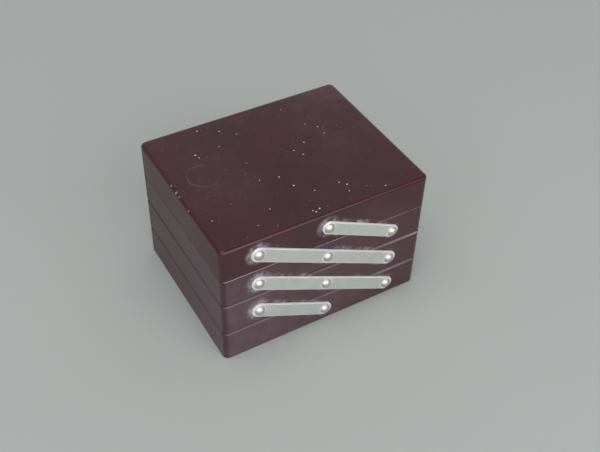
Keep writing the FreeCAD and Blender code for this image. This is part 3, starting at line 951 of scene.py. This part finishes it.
def link_shape(node, pivots, half_width):
    """A bar of the solid's own thickness, from its first pivot to its last."""
    low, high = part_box(node)
    near, far = (high.y, low.y) if low.y < 0 else (low.y, high.y)
    first, last = (Vector((x, 0, z)) for x, z in (pivots[0], pivots[-1]))
    along = last - first
    bm = bmesh.new()
    turn = Matrix.Rotation(math.pi / 2, 4, "X") @ Matrix.Rotation(math.pi / LINK_END_STEPS, 4, "Z")
    bmesh.ops.create_circle(bm, cap_ends=True, segments=LINK_END_STEPS, radius=half_width, matrix=turn)
    bmesh.ops.rotate(bm, verts=bm.verts, matrix=Matrix.Rotation(-math.atan2(along.z, along.x), 3, "Y"))
    bmesh.ops.translate(bm, vec=along, verts=[vert for vert in bm.verts if vert.co.dot(along) > 0])
    bmesh.ops.translate(bm, vec=first + Vector((0, near, 0)), verts=bm.verts)
    face = next(iter(bm.faces))
    raised = bmesh.ops.extrude_face_region(bm, geom=[face], use_keep_orig=True)["geom"]
    verts = [item for item in raised if isinstance(item, bmesh.types.BMVert)]
    bmesh.ops.translate(bm, vec=(0, far - near, 0), verts=verts)
    outline = [edge for edge in bm.edges if all(abs(vert.co.y - far) < NEAR for vert in edge.verts)]
    rounded(bm, outline, *LINK_EDGE)
    pierce(bm, (far, near), pivots)
    return bm


for side in SIDES:
    for name, holes in LINKS.items():
        node = f"{side}_{name}"
        pivots = [pivot(tier, column, side) for tier, column in holes]
        piece = finished(link_shape(node, pivots, link_half_width(name)), f"{node}_bar", link_finish)
        stands_for(piece, node, node)
print("links:", len(SIDES) * len(LINKS))

# %% [markdown]
# The rivets are turned shapes, so each is a profile spun once round: a domed head, the shank, and the
# set end that was hammered over the washer. Half a ball on a rod would look the same from outside, but one
# profile gives the whole rivet without inner faces. A washer is spun from its section.

# %% The rivets and the washers
RIVET_SHANK = 1.5 * MM
HEAD_HEIGHT = 1.6 * MM
TAIL_RADIUS = 2.4 * MM
TAIL_HEIGHT = 1.0 * MM
WASHER_PLAY = 0.1 * MM
DOME_STEPS = 8
TURN_STEPS = 40


def dome(radius, height):
    """Points of a round cap's profile, from its top on the axis to its rim, as (radius, drop)."""
    ball = (radius ** 2 + height ** 2) / (2 * height)
    spread = math.asin(radius / ball)
    angles = [spread * step / DOME_STEPS for step in range(DOME_STEPS + 1)]
    return [(ball * math.sin(angle), ball * (1 - math.cos(angle))) for angle in angles]


def rivet_profile(low, high, away):
    """A rivet's outline, from the crown of its head to the top of its set end."""
    crown, end = (-low.y, -high.y) if away < 0 else (high.y, low.y)
    head = [(reach, crown - drop) for reach, drop in dome((high.x - low.x) / 2, HEAD_HEIGHT)]
    shank = [(RIVET_SHANK, crown - HEAD_HEIGHT), (RIVET_SHANK, end + TAIL_HEIGHT)]
    tail = [(reach, end + drop) for reach, drop in dome(TAIL_RADIUS, TAIL_HEIGHT)]
    return head + shank + tail[::-1]


def washer_profile(low, high):
    """A washer's section, closed round its four corners."""
    inner, outer = sorted((abs(low.y), abs(high.y)))
    radius = (high.x - low.x) / 2
    bore = RIVET_SHANK + WASHER_PLAY
    return [(bore, inner), (radius, inner), (radius, outer), (bore, outer), (bore, inner)]


def turned(profile, centre, away):
    """Spins a profile of (radius, distance outwards) about the line through a pivot."""
    bm = bmesh.new()
    verts = [bm.verts.new((radius, away * out, 0)) for radius, out in profile]
    for first, second in zip(verts, verts[1:]):
        bm.edges.new((first, second))
    bmesh.ops.spin(bm, geom=bm.verts[:] + bm.edges[:], cent=(0, 0, 0), axis=(0, 1, 0),
                   angle=2 * math.pi, steps=TURN_STEPS, use_merge=True, use_duplicate=False)
    bmesh.ops.remove_doubles(bm, verts=bm.verts, dist=NEAR)
    bmesh.ops.translate(bm, vec=(centre[0], 0, centre[1]), verts=bm.verts)
    return bm


for side in SIDES:
    away = -1 if side == "front" else 1
    for tier, columns in RIVETS.items():
        for column in columns:
            centre = pivot(tier, column, side)
            node = f"{side}_rivet_{tier}_{column}"
            bm = turned(rivet_profile(*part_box(node), away), centre, away)
            stands_for(finished(bm, f"{node}_turned", rivet_finish), node, NODE[tier])
            node = f"{side}_washer_{tier}_{column}"
            bm = turned(washer_profile(*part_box(node)), centre, away)
            stands_for(finished(bm, f"{node}_ring", washer_finish), node, NODE[tier])
print("rivets:", len(SIDES) * sum(len(columns) for columns in RIVETS.values()), "and as many washers")

# %% [markdown]
# Last, the finished model's box is measured, as the solids' own was at the start.

# %% Sizes, and the end
low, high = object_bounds()
